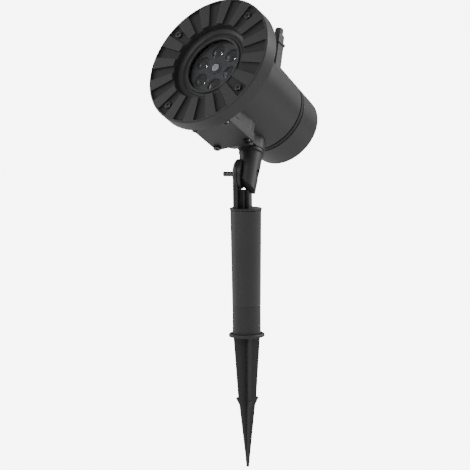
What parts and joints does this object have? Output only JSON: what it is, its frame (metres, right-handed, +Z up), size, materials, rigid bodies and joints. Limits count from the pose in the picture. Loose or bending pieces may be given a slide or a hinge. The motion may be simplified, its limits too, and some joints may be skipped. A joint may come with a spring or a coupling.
{
  "type": "light projector stake",
  "caption": "Garden light projector on a ground spike: ribbed round bezel, turning lens wheel, slide tower, and a tilting and swivelling neck.",
  "frame": {"origin": "on the stake's axis at ground level, the plane of the flange's underside", "axes": "+Z up along the stake, +X along the tilt hinge towards the knuckle, the lamp leans back towards +Y and its front is towards -Y"},
  "size_m": [0.1275, 0.1459, 0.3818],
  "materials": {
    "black_plastic": "fine-grained moulded ABS, matte black",
    "tube_plastic": "matte black extruded plastic",
    "spike_plastic": "matte black polypropylene",
    "gear_plastic": "natural acetal",
    "clear_glass": "clear polished",
    "clear_lens": "clear moulded acrylic",
    "film": "printed clear film",
    "black_rubber": "soft matte rubber",
    "black_screw": "black oxide steel",
    "steel": "zinc plated",
    "sink_metal": "extruded aluminium",
    "board": "green solder resist",
    "led_face": "phosphor coated emitter"
  },
  "bodies": {
    "stake": {"ground_spike": "spike_plastic", "stake_tube": "tube_plastic", "pivot_stem": "black_plastic", "hinge_nut": "steel", "hinge_bolt": "black_screw"},
    "knuckle": {"neck_knuckle": "black_plastic", "swivel_washer": "steel", "swivel_screw": "steel"},
    "lamp": {"lamp_housing": "black_plastic", "bezel_ring": "black_plastic", "bezel_screws": "black_screw", "front_window": "clear_glass", "window_gasket": "black_rubber", "wheel_bracket": "black_plastic", "wheel_screw": "black_screw", "wheel_motor": "steel", "motor_screws": "steel", "slide_guide": "black_plastic", "compartment_cover": "black_plastic", "cover_screws": "black_screw", "lens_holder": "black_plastic", "condenser_lens": "clear_lens", "led_board": "board", "led_emitter": "led_face", "heat_sink": "sink_metal", "sink_screws": "steel", "seal_band": "black_rubber", "rear_cap": "black_plastic", "cap_screws": "black_screw", "cable_gland": "black_plastic", "gland_nut": "black_plastic", "driver_board": "board"},
    "lens_wheel": {"lens_wheel": "black_plastic", "wheel_lenses": "clear_lens"},
    "pinion": {"drive_pinion": "gear_plastic"},
    "slide": {"slide_cap": "black_plastic", "slide_frame": "black_plastic", "pattern_film": "film"},
    "knob_left": {"knob_left": "black_plastic"},
    "knob_right": {"knob_right": "black_plastic"}
  },
  "joints": [
    {"name": "head_tilt", "type": "hinge", "parent": "stake", "child": "knuckle", "pos_m": [0, 0, 0.1324], "axis": [1, 0, 0], "range_deg": [-45, 80]},
    {"name": "head_swivel", "type": "hinge", "parent": "knuckle", "child": "lamp", "pos_m": [0.0026, 0, 0.1324], "axis": [0, 0.5793, 0.8151], "range_deg": [-60, 60]},
    {"name": "wheel_spin", "type": "hinge", "parent": "lamp", "child": "lens_wheel", "pos_m": [-0.02079, -0.00618, 0.21702], "axis": [-0.3971, -0.7481, 0.5316], "continuous": true},
    {"name": "pinion_spin", "type": "hinge", "parent": "lamp", "child": "pinion", "pos_m": [-0.02079, -0.02414, 0.19175], "axis": [-0.3971, -0.7481, 0.5316], "continuous": true},
    {"name": "slide_lift", "type": "slide", "parent": "lamp", "child": "slide", "axis": [0, 0.5793, 0.8151], "range_m": [0, 0.075]},
    {"name": "knob_left_turn", "type": "hinge", "parent": "slide", "child": "knob_left", "pos_m": [-0.03497, 0.05558, 0.22834], "axis": [0, 0.5793, 0.8151], "continuous": true},
    {"name": "knob_right_turn", "type": "hinge", "parent": "slide", "child": "knob_right", "pos_m": [0.02083, 0.0359, 0.24233], "axis": [0, 0.5793, 0.8151], "continuous": true}
  ],
  "couplings": [
    {"joint": "pinion_spin", "follows": "wheel_spin", "ratio": -4.1667}
  ]
}
